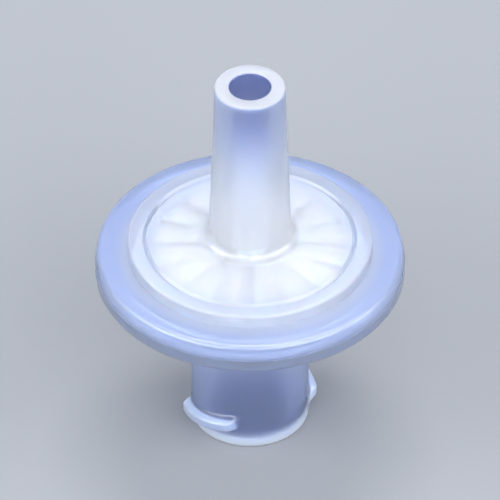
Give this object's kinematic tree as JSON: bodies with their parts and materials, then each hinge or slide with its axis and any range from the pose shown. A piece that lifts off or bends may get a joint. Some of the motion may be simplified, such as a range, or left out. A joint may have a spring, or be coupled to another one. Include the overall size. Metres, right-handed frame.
{
  "type": "syringe filter",
  "caption": "Small disc-shaped membrane filter with a female luer-lock inlet hub on one face and a male luer-slip outlet nozzle on the other.",
  "frame": {"origin": "centre of the inlet hub's mouth, on the face that the filter stands on", "axes": "+Z along the flow axis, from the inlet hub to the outlet nozzle; X and Y across the disc, with the first luer-lock lug beginning 178 degrees from +X"},
  "size_m": [0.0175, 0.0174, 0.0238],
  "materials": {
    "inlet_polypropylene": "natural translucent polypropylene, satin",
    "outlet_polypropylene": "natural translucent polypropylene, satin",
    "membrane": "white porous sheet, matt"
  },
  "bodies": {
    "root": {"inlet_housing": "inlet_polypropylene", "outlet_housing": "outlet_polypropylene", "membrane": "membrane"}
  },
  "joints": []
}
